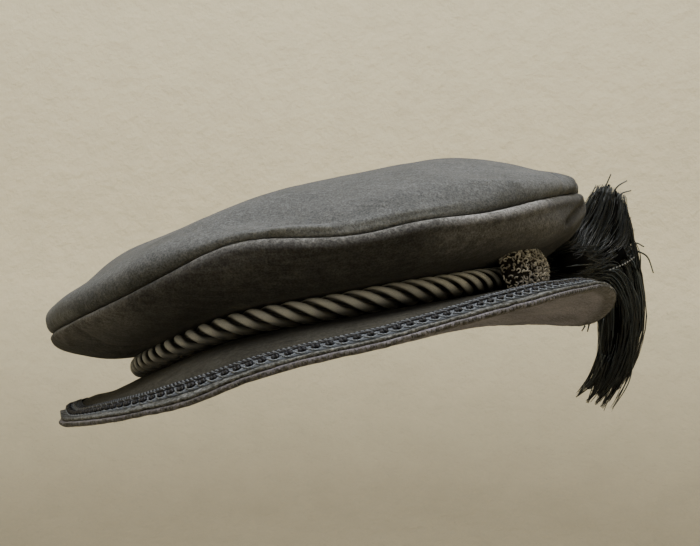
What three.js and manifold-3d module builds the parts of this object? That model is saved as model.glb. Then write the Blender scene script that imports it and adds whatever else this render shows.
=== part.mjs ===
// A tudor hat: a flat suede cap with a puffed crown over a narrow two-layer brim, a twisted cord round the
// foot of the crown, a braid near the brim's edge, and a looped rosette at the root of a black plume.
// Millimetres, +Z up, -Y to the front. The origin is the centre of the head opening, at the middle of the
// brim's thickness. The hat sits tilted, as it is worn, and the plume hangs straight down from it.
import * as THREE from "three";
import { mergeVertices } from "three/addons/utils/BufferGeometryUtils.js";
import Module from "manifold-3d";

// Clearance between two pieces that touch
const GAP = 0.3;

// Tilt of the worn hat in degrees: its front rides up, and its right side stands higher
const TILT_FRONT = 13.1;
const TILT_SIDE = 12.1;

// Wall thicknesses
const CROWN_CLOTH = 2;
const BRIM_LAYER = 2.1;
const BRAID_THICK = 1.2;

// Rings that set out the hat. x, y: half-widths across and front to back; shift: how far the ring's middle
// lies to the right
const OPENING = { x: 81, y: 101, shift: 0 };
const NECK = { x: 84, y: 104, shift: 0 };
const CORD_RING = { x: 110.5, y: 136, shift: 0 };
const SEAM_RING = { x: 154, y: 164, shift: -0.5 };
const RIM = { x: 159.2, y: 179.5, shift: 1.7 };
const CROWN_MIDDLE = { x: 0, y: 0, shift: 0 };

// Height of the crown's top over the opening
const CROWN_TOP = 83;

// Twisted cord: radius over its strands and in the valleys between them
const CORD_RADIUS = 6.2;
const CORD_VALLEY = 4.7;
const CORD_STRANDS = 4;
const CORD_TURNS = 20;
const CORD_STEPS_PER_TURN = 8;

// Clearance over the cord where the crown's side panel passes over it
const CORD_ROOM = 0.45;

// Facets round the hat, one column of the walls each
const COLUMNS = 54;

// Heights round the hat. at: azimuth in degrees, 0 at the front and 90 at the right; seam: the crown's
// seam; foot: the brim's middle under the cord; rim: the brim's middle at its edge; droop: how far the
// braided border turns down below the sweep of the brim
const AROUND = [
  { at: -165, seam: 40, foot: -1, rim: -9, droop: 0 },
  { at: -135, seam: 38, foot: -1, rim: -9, droop: 0 },
  { at: -110, seam: 35, foot: -2, rim: -8.8, droop: 0 },
  { at: -90, seam: 33, foot: -3.5, rim: -12.8, droop: 0 },
  { at: -70, seam: 30.5, foot: -5, rim: -19, droop: 0 },
  { at: -50, seam: 30, foot: -4.5, rim: -22.2, droop: 0 },
  { at: -35, seam: 32, foot: -2.2, rim: -24, droop: 0 },
  { at: -22, seam: 37, foot: 0, rim: -23, droop: 0 },
  { at: -10, seam: 43, foot: 0, rim: -18.5, droop: 0 },
  { at: 0, seam: 39.3, foot: -0.9, rim: -16.6, droop: 0 },
  { at: 10, seam: 34.8, foot: -1.3, rim: -15.4, droop: 0.6 },
  { at: 22, seam: 36.4, foot: -1.1, rim: -11.6, droop: 2.3 },
  { at: 35, seam: 36, foot: -1.1, rim: -5.4, droop: 6 },
  { at: 50, seam: 40.2, foot: -0.4, rim: -4.3, droop: 4.8 },
  { at: 65, seam: 44.6, foot: 0, rim: -5.5, droop: 3 },
  { at: 80, seam: 47, foot: -1, rim: -12, droop: 1.4 },
  { at: 95, seam: 48, foot: -2, rim: -20.8, droop: 0.4 },
  { at: 108, seam: 48, foot: -2, rim: -23.8, droop: 0 },
  { at: 125, seam: 47, foot: -1, rim: -16, droop: 0 },
  { at: 145, seam: 44, foot: 0, rim: -8, droop: 0 },
  { at: 170, seam: 42, foot: 0, rim: -8, droop: 0 },
];

// The crown's top panel from its seam to its centre. ring: share of the seam ring; left, right: share of
// the rise from the seam to the crown's top, on the hat's left and right
const TOP_PANEL = [
  { ring: 0.986, left: 0, right: 0 },
  { ring: 1.01, left: 0.03, right: 0.03 },
  { ring: 1.018, left: 0.12, right: 0.1 },
  { ring: 1.01, left: 0.22, right: 0.21 },
  { ring: 0.968, left: 0.32, right: 0.34 },
  { ring: 0.9, left: 0.41, right: 0.47 },
  { ring: 0.81, left: 0.52, right: 0.63 },
  { ring: 0.68, left: 0.65, right: 0.81 },
  { ring: 0.5, left: 0.77, right: 0.95 },
  { ring: 0.27, left: 0.92, right: 0.99 },
  { ring: 0, left: 1, right: 1 },
];

// The crown's side panel from its seam in to the head opening. from, to: the rings that share mixes;
// left, right: share of the drop from the seam to the top of the cord, and past the cord to the brim. Only
// the loose rows, the ones clear of the cord, carry folds
const SIDE_PANEL = [
  { from: CORD_RING, to: SEAM_RING, share: 0.95, left: 0, right: 0 },
  { from: CORD_RING, to: SEAM_RING, share: 1.035, left: 0.05, right: 0.04 },
  { from: CORD_RING, to: SEAM_RING, share: 1.04, left: 0.14, right: 0.2 },
  { from: CORD_RING, to: SEAM_RING, share: 1.0, left: 0.27, right: 0.42 },
  { from: CORD_RING, to: SEAM_RING, share: 0.88, left: 0.43, right: 0.62 },
  { from: CORD_RING, to: SEAM_RING, share: 0.69, left: 0.65, right: 0.76 },
  { from: CORD_RING, to: SEAM_RING, share: 0.44, left: 0.9, right: 0.86 },
  { from: CORD_RING, to: SEAM_RING, share: 0.18, left: 1, right: 0.96 },
  { from: NECK, to: CORD_RING, share: 0.9, left: 1, right: 1 },
  { from: NECK, to: CORD_RING, share: 0.55, left: 1.45, right: 1.45 },
  { from: NECK, to: CORD_RING, share: 0, left: 2, right: 2 },
];
const SIDE_LOOSE_ROWS = 7;

// Dents and soft folds of the crown. at: azimuth; wide: half-width in degrees; row: row of the panel;
// reach: half-height in rows; push: how far the cloth stands out
const TOP_FOLDS = [
  { at: -2, wide: 12, row: 4.5, reach: 1.2, push: -3 },
  { at: -9, wide: 8, row: 2, reach: 1.2, push: 1.5 },
  { at: 16, wide: 26, row: 1.5, reach: 1, push: -1 },
  { at: -18, wide: 13, row: 7.3, reach: 1.1, push: -2.4 },
  { at: 7, wide: 9, row: 8, reach: 1, push: 1.4 },
  { at: 42, wide: 12, row: 6, reach: 1.5, push: 2.5 },
  { at: 60, wide: 16, row: 7, reach: 1.2, push: 2 },
  { at: 88, wide: 14, row: 2.5, reach: 1.5, push: -1.8 },
  { at: -58, wide: 12, row: 4.7, reach: 0.9, push: -2.4 },
  { at: -63, wide: 16, row: 7, reach: 1, push: 3.2 },
  { at: 118, wide: 16, row: 5, reach: 1.6, push: -3 },
  { at: 160, wide: 14, row: 6, reach: 1.6, push: 2.5 },
  { at: -150, wide: 18, row: 5, reach: 1.6, push: -2.5 },
];
const SIDE_FOLDS = [
  { at: 58, wide: 9, row: 4, reach: 1.2, push: 3 },
  { at: 76, wide: 7, row: 5, reach: 1.4, push: -3 },
  { at: 86, wide: 12, row: 1.5, reach: 1.2, push: 3 },
  { at: 8, wide: 34, row: 1.2, reach: 0.9, push: 1 },
  { at: -8, wide: 9, row: 3, reach: 1.4, push: 2 },
  { at: 10, wide: 10, row: 4, reach: 1.3, push: -2 },
  { at: -55, wide: 9, row: 4.5, reach: 1.2, push: -1.8 },
  { at: -78, wide: 10, row: 4, reach: 1.4, push: 2 },
  { at: 130, wide: 14, row: 4, reach: 1.5, push: 2.5 },
  { at: -130, wide: 14, row: 4, reach: 1.5, push: 2.5 },
];

// Rows of the brim from its edge in to the opening, as shares of its width, and the two sides of the braid
const BRIM_ROWS = [1, 0.955, 0.83, 0.58, 0.3, 0];
const BRAID_ROWS = [0.955, 0.83];

// The rolled edge outside the braid: its rise over the slope of the brim, and its half-thicknesses above
// and below the split between the layers, as shares of the brim's
const EDGE_RISE = 2.9;
const EDGE_OVER = 0.62;
const EDGE_UNDER = 1.22;

// Rosette. at: azimuth; out, up: how far its middle lies outside the cord ring and over the brim;
// along, deep, tall: its half-sizes
const ROSETTE = { at: 60, out: 14, up: 8, along: 27, deep: 8.5, tall: 13 };

// Plume, in upright axes. The head lies in the wedge under the crown; each lock runs from it through the
// points of its route, and tapers from its thick radius to its tip radius past half of its length
const PLUME_HEAD = { x: 138, y: 14, z: 43, along: 17, deep: 16, tall: 13 };
const PLUME_LOCKS = [
  { route: [[150, 24, 49], [156.5, 26, 68], [163, 27, 87]], thick: 9, end: 2.5 },
  { route: [[156, 32, 50], [162, 34, 68], [168, 34, 88]], thick: 8, end: 2.5 },
  { route: [[163, 26, 46], [168, 27, 66], [170, 28, 85]], thick: 8.5, end: 2.5 },
  { route: [[172, 34, 44], [174.5, 36, 62], [173.5, 34, 83]], thick: 8.5, end: 2.5 },
  { route: [[156, 22, 40], [167, 25, 43], [177, 26, 48]], thick: 8.5, end: 7.5 },
  { route: [[167, 30, 40], [171, 33, -2], [170, 38, -27], [160, 42, -43]], thick: 7, end: 2 },
  { route: [[172, 38, 42], [178, 41, 4], [176, 43, -26], [168, 45, -48]], thick: 7.5, end: 2 },
  { route: [[177, 30, 43], [185, 33, 6], [182.5, 37, -24], [173, 40, -51]], thick: 8, end: 2 },
  { route: [[172, 26, 40], [179, 28, 6], [176.5, 32, -28], [166, 36, -48]], thick: 7, end: 2 },
];
const LOCK_SIDES = 6;
const LOCK_STEPS = 7;

// Facets of the rosette and of the plume's head, round and from pole to pole
const ROSETTE_FACETS = [12, 8];
const HEAD_FACETS = [10, 6];

const radians = (degrees) => (degrees * Math.PI) / 180;
const mix = (a, b, share) => a + (b - a) * share;
const mixRing = (a, b, share) => ({
  x: mix(a.x, b.x, share),
  y: mix(a.y, b.y, share),
  shift: mix(a.shift, b.shift, share),
});
const ringPoint = (ring, azimuth, z) =>
  new THREE.Vector3(ring.shift + ring.x * Math.sin(azimuth), -ring.y * Math.cos(azimuth), z);

// A smooth closed curve through one column of the AROUND table
function heightAround(column) {
  const rows = AROUND.map((row) => ({ at: radians(row.at), height: row[column] }));
  const count = rows.length;
  const turn = 2 * Math.PI;
  const row = (i) => {
    const laps = Math.floor(i / count);
    const { at, height } = rows[i - laps * count];
    return { at: at + laps * turn, height };
  };
  const slope = (i) => (row(i + 1).height - row(i - 1).height) / (row(i + 1).at - row(i - 1).at);
  return (azimuth) => {
    const start = rows[0].at;
    const angle = start + ((((azimuth - start) % turn) + turn) % turn);
    let i = 0;
    while (row(i + 1).at <= angle) i += 1;
    const span = row(i + 1).at - row(i).at;
    const t = (angle - row(i).at) / span;
    const rise = row(i + 1).height - row(i).height;
    const ease = t * t * (3 - 2 * t);
    return row(i).height + rise * ease
      + span * slope(i) * t * (1 - t) * (1 - t) - span * slope(i + 1) * t * t * (1 - t);
  };
}

const seamHeight = heightAround("seam");
const footHeight = heightAround("foot");
const rimHeight = heightAround("rim");
const borderDroop = heightAround("droop");
const brimTop = BRIM_LAYER + GAP / 2;
const NECK_SHARE = (NECK.x - OPENING.x) / (RIM.x - OPENING.x);

// Height of the cord's middle, and of the cord's top where the crown's side panel passes over it
const cordMiddle = (azimuth) => footHeight(azimuth) + brimTop + GAP + CORD_RADIUS;
const cordTop = (azimuth) => cordMiddle(azimuth) + CORD_RADIUS + CORD_ROOM;

// How far the folds push a panel out at an azimuth and a row
function foldPush(folds, azimuth, row) {
  return folds.reduce((sum, fold) => {
    const turn = Math.abs(THREE.MathUtils.euclideanModulo(azimuth - radians(fold.at) + Math.PI, 2 * Math.PI)
      - Math.PI) / radians(fold.wide);
    const climb = (row - fold.row) / fold.reach;
    return sum + fold.push * Math.exp(-turn * turn - climb * climb);
  }, 0);
}

const sideBlend = (azimuth, row) => mix(row.left, row.right, (1 + Math.sin(azimuth)) / 2);

function topPanelPoint(azimuth, i) {
  const row = TOP_PANEL[i];
  const ring = mixRing(CROWN_MIDDLE, SEAM_RING, row.ring);
  const seam = seamHeight(azimuth) + GAP / 2;
  return ringPoint(ring, azimuth, mix(seam, CROWN_TOP, sideBlend(azimuth, row)));
}

function sidePanelPoint(azimuth, i) {
  const row = SIDE_PANEL[i];
  const ring = mixRing(row.from, row.to, row.share);
  const drop = sideBlend(azimuth, row);
  const seam = seamHeight(azimuth) - GAP / 2;
  const foot = brimPoint(azimuth, NECK_SHARE).z + brimTop + GAP;
  const z = drop <= 1 ? mix(seam, cordTop(azimuth), drop) : mix(cordTop(azimuth), foot, drop - 1);
  return ringPoint(ring, azimuth, z);
}

// The brim's middle surface: level at the opening, through the cord's foot, down to the rolled edge
function brimPoint(azimuth, share) {
  const ring = mixRing(OPENING, RIM, share);
  const side = Math.sin(azimuth) ** 2;
  const atCord = mix(
    (CORD_RING.y - OPENING.y) / (RIM.y - OPENING.y),
    (CORD_RING.x - OPENING.x) / (RIM.x - OPENING.x),
    side,
  );
  const foot = footHeight(azimuth) * share * (1 - share) / (atCord * (1 - atCord));
  const rim = rimHeight(azimuth) * share * (share - atCord) / (1 - atCord);
  const roll = Math.max(0, (share - BRAID_ROWS[0]) / (1 - BRAID_ROWS[0]));
  const border = Math.max(0, (share - BRAID_ROWS[1]) / (1 - BRAID_ROWS[1]));
  return ringPoint(ring, azimuth, foot + rim + EDGE_RISE * roll - borderDroop(azimuth) * border);
}

// Points of a wall's middle or outer surface, a list of rows with one point for each column
function grid(rows, pointAt) {
  const columns = Array.from({ length: COLUMNS }, (_, j) => (2 * Math.PI * j) / COLUMNS);
  return rows.map((row) => columns.map((azimuth) => pointAt(azimuth, row)));
}

// A grid's normals, across its rows and columns; a row at the centre of the crown points straight up
function normals(points) {
  const last = points.length - 1;
  return points.map((row, i) => row.map((_, j) => {
    const along = row[(j + 1) % COLUMNS].clone().sub(row[(j + COLUMNS - 1) % COLUMNS]);
    const across = points[Math.min(i + 1, last)][j].clone().sub(points[Math.max(i - 1, 0)][j]);
    const normal = along.cross(across);
    return normal.length() < 1e-6 ? new THREE.Vector3(0, 0, 1) : normal.normalize();
  }));
}

// Moves each point of a grid along its normal by a distance that may change from row to row and column
function offset(points, distanceAt) {
  const out = normals(points);
  return points.map((row, i) => row.map((point, j) =>
    point.clone().addScaledVector(out[i][j], distanceAt(i, (2 * Math.PI * j) / COLUMNS))));
}

// A closed mesh between an outer and an inner grid with the same rows. A capped wall ends in one point at
// the centre; an open one has an edge at each end.
function wall(name, outer, inner, capped, material) {
  const triangles = [];
  const quad = (a, b, c, d) => triangles.push(a, b, c, a, c, d);
  const last = outer.length - 1;
  for (let j = 0; j < COLUMNS; j += 1) {
    const k = (j + 1) % COLUMNS;
    for (let i = 0; i < last; i += 1) {
      const pole = capped && i === last - 1;
      if (pole) {
        triangles.push(outer[i][j], outer[i][k], outer[last][0]);
        triangles.push(inner[i][k], inner[i][j], inner[last][0]);
      } else {
        quad(outer[i][j], outer[i][k], outer[i + 1][k], outer[i + 1][j]);
        quad(inner[i][j], inner[i + 1][j], inner[i + 1][k], inner[i][k]);
      }
    }
    quad(inner[0][j], inner[0][k], outer[0][k], outer[0][j]);
    if (!capped) quad(outer[last][j], outer[last][k], inner[last][k], inner[last][j]);
  }
  return meshOf(name, triangles, material);
}

// A mesh of loose triangles, turned outwards
function meshOf(name, triangles, material) {
  let volume = 0;
  for (let i = 0; i < triangles.length; i += 3) {
    volume += triangles[i].dot(triangles[i + 1].clone().cross(triangles[i + 2]));
  }
  const outward = volume > 0 ? triangles : triangles.slice().reverse();
  const geometry = new THREE.BufferGeometry().setFromPoints(outward);
  geometry.computeVertexNormals();
  const mesh = new THREE.Mesh(geometry, material);
  mesh.name = name;
  return mesh;
}

function cloth(color, roughness = 0.95) {
  return new THREE.MeshStandardMaterial({ color, roughness, metalness: 0 });
}

function makeCrownTop() {
  const rows = TOP_PANEL.map((_, i) => i);
  const shape = grid(rows, topPanelPoint);
  const outer = offset(shape, (i, azimuth) =>
    (i > 0 && i < rows.length - 1 ? foldPush(TOP_FOLDS, azimuth, i) : 0));
  const inner = offset(outer, () => -CROWN_CLOTH);
  return wall("crown_top", outer, inner, true, cloth(0x565a5b));
}

// The side panel's outer surface; its normals point into the crown, and its folds end above the cord
function sidePanelGrid() {
  const shape = grid(SIDE_PANEL.map((_, i) => i), sidePanelPoint);
  return offset(shape, (i, azimuth) =>
    (i > 0 && i < SIDE_LOOSE_ROWS ? -foldPush(SIDE_FOLDS, azimuth, i) : 0));
}

function makeCrownSide() {
  const outer = sidePanelGrid();
  const inner = offset(outer, () => CROWN_CLOTH);
  return wall("crown_side", outer, inner, false, cloth(0x3f3b37));
}

// The two layers of the brim, above and below its middle surface
function makeBrim() {
  const middle = grid(BRIM_ROWS, brimPoint);
  const face = (distance, share) => offset(middle, (i) => (i === 0 ? distance * share : distance));
  const top = [face(brimTop, EDGE_OVER), face(GAP / 2, 1)];
  const under = [face(-GAP / 2, 1), face(-brimTop, EDGE_UNDER)];
  return [
    wall("brim_top", ...top, false, cloth(0x4a4947)),
    wall("brim_under", ...under, false, cloth(0x6b6460)),
  ];
}

function makeBraid() {
  const middle = grid(BRAID_ROWS, brimPoint);
  const outer = offset(middle, () => brimTop + GAP + BRAID_THICK);
  const inner = offset(middle, () => brimTop + GAP);
  return wall("brim_braid", outer, inner, false, cloth(0x20232b, 0.7));
}

// The twisted cord: a lobed section, given by its radius over the strands and in the valleys, that turns as
// it runs round the foot of the crown
function makeCord(over, valley) {
  const steps = CORD_TURNS * CORD_STEPS_PER_TURN;
  const points = 2 * CORD_STRANDS;
  const section = (step) => {
    const azimuth = (2 * Math.PI * step) / steps;
    const centre = ringPoint(CORD_RING, azimuth, cordMiddle(azimuth));
    const out = new THREE.Vector3(
      CORD_RING.y * Math.sin(azimuth),
      -CORD_RING.x * Math.cos(azimuth),
      0,
    ).normalize();
    const twist = (-2 * Math.PI * CORD_TURNS * step) / steps;
    return Array.from({ length: points }, (_, k) => {
      const angle = twist + (2 * Math.PI * k) / points;
      const radius = k % 2 ? valley : over;
      return centre.clone()
        .addScaledVector(out, radius * Math.cos(angle))
        .add(new THREE.Vector3(0, 0, radius * Math.sin(angle)));
    });
  };
  const sections = Array.from({ length: steps }, (_, step) => section(step));
  const triangles = [];
  sections.forEach((ring, step) => {
    const next = sections[(step + 1) % steps];
    ring.forEach((_, k) => {
      const m = (k + 1) % points;
      triangles.push(ring[k], next[k], next[m], ring[k], next[m], ring[m]);
    });
  });
  return meshOf("hat_cord", triangles, cloth(0x4b433c, 0.55));
}

const wasm = await Module();
wasm.setup();

// A mesh, placed by its own matrix, as a solid for joining and cutting
function solidOf(mesh) {
  mesh.updateMatrix();
  const source = mesh.geometry.index ? mesh.geometry.toNonIndexed() : mesh.geometry;
  const bare = new THREE.BufferGeometry()
    .setAttribute("position", source.getAttribute("position").clone())
    .applyMatrix4(mesh.matrix);
  const merged = mergeVertices(bare, 1e-4);
  return new wasm.Manifold(new wasm.Mesh({
    numProp: 3,
    vertProperties: new Float32Array(merged.attributes.position.array),
    triVerts: new Uint32Array(merged.index.array),
  }));
}

function meshFromSolid(name, solid, material) {
  const { vertProperties, triVerts } = solid.getMesh();
  const geometry = new THREE.BufferGeometry()
    .setAttribute("position", new THREE.BufferAttribute(vertProperties, 3))
    .setIndex(new THREE.BufferAttribute(triVerts, 1));
  geometry.computeVertexNormals();
  const mesh = new THREE.Mesh(geometry, material);
  mesh.name = name;
  return mesh;
}

// The room that the hat takes up round the rosette and the plume, with clearance all round
function makeRoom() {
  const over = brimTop + GAP;
  const middle = grid(BRIM_ROWS, brimPoint);
  const braid = grid(BRAID_ROWS, brimPoint);
  const side = sidePanelGrid();
  const walls = [
    wall("brim_room", offset(middle, () => over), offset(middle, () => -over), false),
    wall("braid_room", offset(braid, () => over + BRAID_THICK + GAP), braid, false),
    wall("crown_room", offset(side, () => -GAP), offset(side, () => CROWN_CLOTH), false),
    makeCord(CORD_RADIUS + GAP, CORD_RADIUS + GAP),
  ];
  return wasm.Manifold.union(walls.map((mesh) => solidOf(mesh)));
}

// What is left of a solid outside the room: its largest body, without what pokes through a wall
function seated(solid, room) {
  const bodies = solid.subtract(room).decompose();
  return bodies.reduce((most, body) => (body.volume() > most.volume() ? body : most));
}

// The looped rosette, a flattened ball seated on the brim against the cord
function makeRosette(room) {
  const azimuth = radians(ROSETTE.at);
  const ring = { x: CORD_RING.x + ROSETTE.out, y: CORD_RING.y + ROSETTE.out, shift: 0 };
  const ball = new THREE.Mesh(new THREE.SphereGeometry(1, ...ROSETTE_FACETS));
  ball.scale.set(ROSETTE.along, ROSETTE.deep, ROSETTE.tall);
  ball.rotation.z = Math.atan2(ring.y * Math.sin(azimuth), ring.x * Math.cos(azimuth));
  ball.position.copy(ringPoint(ring, azimuth, footHeight(azimuth) + brimTop + ROSETTE.up));
  return meshFromSolid("rosette", seated(solidOf(ball), room), cloth(0x6f5f4b, 0.8));
}

// One lock of the plume: a tapered tube from the head along its route
function makeLock({ route, thick, end }) {
  const stops = [[PLUME_HEAD.x, PLUME_HEAD.y, PLUME_HEAD.z], ...route];
  const curve = new THREE.CatmullRomCurve3(stops.map((stop) => new THREE.Vector3(...stop)));
  const side = new THREE.Vector3(0, 1, 0);
  const sections = Array.from({ length: LOCK_STEPS + 1 }, (_, i) => {
    const t = i / LOCK_STEPS;
    const centre = curve.getPoint(t);
    const across = curve.getTangent(t).cross(side).normalize();
    const radius = t < 0.5 ? thick : mix(thick, end, 2 * t - 1);
    return Array.from({ length: LOCK_SIDES }, (_unused, k) => {
      const angle = (2 * Math.PI * k) / LOCK_SIDES;
      return centre.clone()
        .addScaledVector(across, radius * Math.cos(angle))
        .addScaledVector(side, radius * Math.sin(angle));
    });
  });
  const triangles = [];
  for (let i = 0; i < LOCK_STEPS; i += 1) {
    for (let k = 0; k < LOCK_SIDES; k += 1) {
      const m = (k + 1) % LOCK_SIDES;
      const [here, next] = [sections[i], sections[i + 1]];
      triangles.push(here[k], here[m], next[m], here[k], next[m], next[k]);
    }
  }
  const [first, last] = [sections[0], sections[LOCK_STEPS]];
  for (let k = 1; k < LOCK_SIDES - 1; k += 1) {
    triangles.push(first[0], first[k + 1], first[k], last[0], last[k], last[k + 1]);
  }
  return meshOf("lock", triangles);
}

// The plume: its locks fused to a flattened head, kept clear of the hat
function makePlume(room) {
  const head = new THREE.Mesh(new THREE.SphereGeometry(1, ...HEAD_FACETS));
  head.scale.set(PLUME_HEAD.along, PLUME_HEAD.deep, PLUME_HEAD.tall);
  head.position.set(PLUME_HEAD.x, PLUME_HEAD.y, PLUME_HEAD.z);
  const pieces = [head, ...PLUME_LOCKS.map(makeLock)];
  const plume = wasm.Manifold.union(pieces.map((mesh) => solidOf(mesh)));
  return meshFromSolid("plume", seated(plume, room), cloth(0x0c0c0d, 0.5));
}

const hat = new THREE.Group();
hat.rotation.set(-radians(TILT_FRONT), -radians(TILT_SIDE), 0, "YXZ");
hat.updateMatrix();
const room = makeRoom();
const placedRoom = room.transform(hat.matrix.toArray());
hat.add(
  makeCrownTop(),
  makeCrownSide(),
  ...makeBrim(),
  makeBraid(),
  makeCord(CORD_RADIUS, CORD_VALLEY),
  makeRosette(room),
);

const part = new THREE.Group();
part.add(hat, makePlume(placedRoom));

export default part;
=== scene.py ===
import math

import bpy
import numpy as np
from mathutils import Matrix, Vector
from mathutils.bvhtree import BVHTree


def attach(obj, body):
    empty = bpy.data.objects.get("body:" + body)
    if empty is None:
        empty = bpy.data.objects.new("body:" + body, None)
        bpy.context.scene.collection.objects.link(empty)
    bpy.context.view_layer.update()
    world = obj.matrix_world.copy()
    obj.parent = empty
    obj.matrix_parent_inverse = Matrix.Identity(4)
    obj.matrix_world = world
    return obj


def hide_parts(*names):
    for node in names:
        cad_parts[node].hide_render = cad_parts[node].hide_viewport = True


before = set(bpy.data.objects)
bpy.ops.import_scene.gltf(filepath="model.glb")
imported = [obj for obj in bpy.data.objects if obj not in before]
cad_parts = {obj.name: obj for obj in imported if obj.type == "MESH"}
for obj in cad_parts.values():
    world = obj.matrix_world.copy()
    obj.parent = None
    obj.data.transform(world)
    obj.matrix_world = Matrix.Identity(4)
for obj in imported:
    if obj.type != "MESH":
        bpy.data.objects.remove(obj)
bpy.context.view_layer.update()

MM = 0.001
TURN = 2 * math.pi
rng = np.random.default_rng(1540)

# The hat sits tilted: its front rides up, and its right side stands higher
SIDE_TILT = math.radians(-12.1)
FRONT_TILT = math.radians(-13.1)
TILT = np.array(Matrix.Rotation(SIDE_TILT, 3, "Y") @ Matrix.Rotation(FRONT_TILT, 3, "X"))
HAT_UP = TILT[:, 2]
FORWARD = np.array([0, -1.0, 0])

# Half-widths of the rings that pieces follow round the hat, across and front to back
CORD_RING = (110.5 * MM, 136 * MM)
BRAID_RING = (151 * MM, 171 * MM)
SEAM_RING = (154 * MM, 164 * MM)
BRIM_RING = (159.2 * MM, 179.5 * MM)
BRIM_SHIFT = 1.7 * MM
# Even stations round the hat at which each of them is read
CORD_STATIONS = 160
BRAID_STATIONS = 54
SEAM_STATIONS = 108
RIM_STATIONS = 432


# -------- helpers

def unit(vectors):
    return vectors / np.linalg.norm(vectors, axis=-1, keepdims=True)


def table(columns, *rows):
    """Records with named columns from rows of values; a row may leave out its last columns."""
    return [dict(zip(columns.split(), row)) for row in rows]


def in_hat(points):
    """Points turned back to where the hat lies level."""
    return points @ TILT


def in_world(points):
    """Points of the level hat turned to where the hat sits."""
    return points @ TILT.T


def azimuth_of(flat, ring):
    """The angle of level points round a ring, 0 at the front and growing to the right."""
    return np.arctan2(flat[:, 0] / ring[0], -flat[:, 1] / ring[1])


def reach_of(flat, ring):
    """How far out level points lie, 1 on the ring."""
    return np.hypot(flat[:, 0] / ring[0], flat[:, 1] / ring[1])


def station_of(flat, ring, count):
    """The nearest of so many even stations round a ring, for each of some level points."""
    return np.round(azimuth_of(flat, ring) / TURN * count).astype(int) % count


def new_object(name, data):
    made = bpy.data.objects.new(name, data)
    bpy.context.scene.collection.objects.link(made)
    return made


def vectors_of(piece, kind):
    flat = np.zeros(len(piece.data.vertices) * 3)
    piece.data.vertices.foreach_get(kind, flat)
    return flat.reshape(-1, 3)


def points_of(piece):
    return vectors_of(piece, "co")


def normals_of(piece):
    return vectors_of(piece, "normal")


def set_points(piece, points):
    piece.data.vertices.foreach_set("co", points.ravel())
    piece.data.update()


def set_mask(piece, name, values):
    mask = piece.data.attributes.new(name, "FLOAT", "POINT")
    mask.data.foreach_set("value", values.astype(np.float32))


def only(piece):
    bpy.ops.object.select_all(action="DESELECT")
    piece.select_set(True)
    bpy.context.view_layer.objects.active = piece


def finish_piece(piece, look, slot, *replaced):
    """Gives a piece its material and its body, and takes away the solids that it replaces; the slot is not
    used.
    """
    piece.data.materials.clear()
    piece.data.materials.append(looks[look])
    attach(piece, "root")
    if replaced:
        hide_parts(*replaced)


def smooth_step(values, low, high):
    share = np.clip((values - low) / (high - low), 0, 1)
    return share * share * (3 - 2 * share)


def bell(values, wide):
    """1 where values are 0, falling softly to 0 on both sides."""
    return np.exp(-((values / wide) ** 2))


NOISE_WAVES = 14


def smooth_noise(points, length, seed):
    """A soft random field of about -1 to 1 with bumps about as long as length."""
    draw = np.random.default_rng(seed)
    total = np.zeros(len(points))
    for _ in range(NOISE_WAVES):
        direction = unit(draw.normal(size=3))
        step = TURN / (length * draw.uniform(0.7, 1.5))
        total += np.sin(points @ direction * step + draw.uniform(0, TURN))
    return total / math.sqrt(NOISE_WAVES)


def nearness(points, route, wide):
    """1 on a route of points in mm and falling softly to 0 with the distance from it."""
    stops = np.array(route, float) * MM
    away = np.full(len(points), np.inf)
    for start, end in zip(stops[:-1], stops[1:]):
        run = end - start
        share = np.clip((points - start) @ run / (run @ run), 0, 1)
        away = np.minimum(away, np.linalg.norm(points - start - share[:, None] * run, axis=1))
    return bell(away, wide * MM)


def add_spots(values, points, spots):
    """Adds the spots of a table to one value a point."""
    for spot in spots:
        values += spot["by"] * nearness(points, spot["route"], spot["wide"])
    return values


def subdivide(piece, levels):
    smooth = piece.modifiers.new("smooth", "SUBSURF")
    smooth.levels = levels
    smooth.render_levels = levels
    only(piece)
    bpy.ops.object.modifier_apply(modifier="smooth")


MOST_SWELL = 1.3 * MM
MOST_BEND = math.radians(60)


def soft_copy(node, name, levels):
    """A CAD node's solid as a smooth quad mesh, swelled first by what the smoothing takes off it."""
    piece = new_object(name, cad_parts[node].data.copy())
    only(piece)
    bpy.ops.mesh.customdata_custom_splitnormals_clear()
    bpy.ops.object.mode_set(mode="EDIT")
    bpy.ops.mesh.select_all(action="SELECT")
    bpy.ops.mesh.remove_doubles(threshold=0.01 * MM)
    bpy.ops.mesh.tris_convert_to_quads(face_threshold=MOST_BEND, shape_threshold=MOST_BEND)
    bpy.ops.mesh.mark_sharp(clear=True)
    bpy.ops.object.mode_set(mode="OBJECT")
    trial = new_object("trial", piece.data.copy())
    subdivide(trial, 2)
    coarse = points_of(piece)
    swell = coarse - points_of(trial)[:len(coarse)]
    bpy.data.objects.remove(trial)
    size = np.linalg.norm(swell, axis=1, keepdims=True)
    set_points(piece, coarse + swell * np.minimum(1, MOST_SWELL / np.maximum(size, 1e-9)))
    subdivide(piece, levels)
    bpy.ops.object.shade_smooth()
    return piece


def run_along(path):
    """The length of a path up to each of its points."""
    return np.concatenate([[0], np.cumsum(np.linalg.norm(np.diff(path, axis=0), axis=1))])


def curve_between(before, here, after, beyond, share):
    """Points part of the way from here to after, on a smooth curve through four stops."""
    return 0.5 * (
        2 * here
        + (after - before) * share
        + (2 * before - 5 * here + 4 * after - beyond) * share**2
        + (3 * here - before - 3 * after + beyond) * share**3
    )


LOOP_FINENESS = 24


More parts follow.
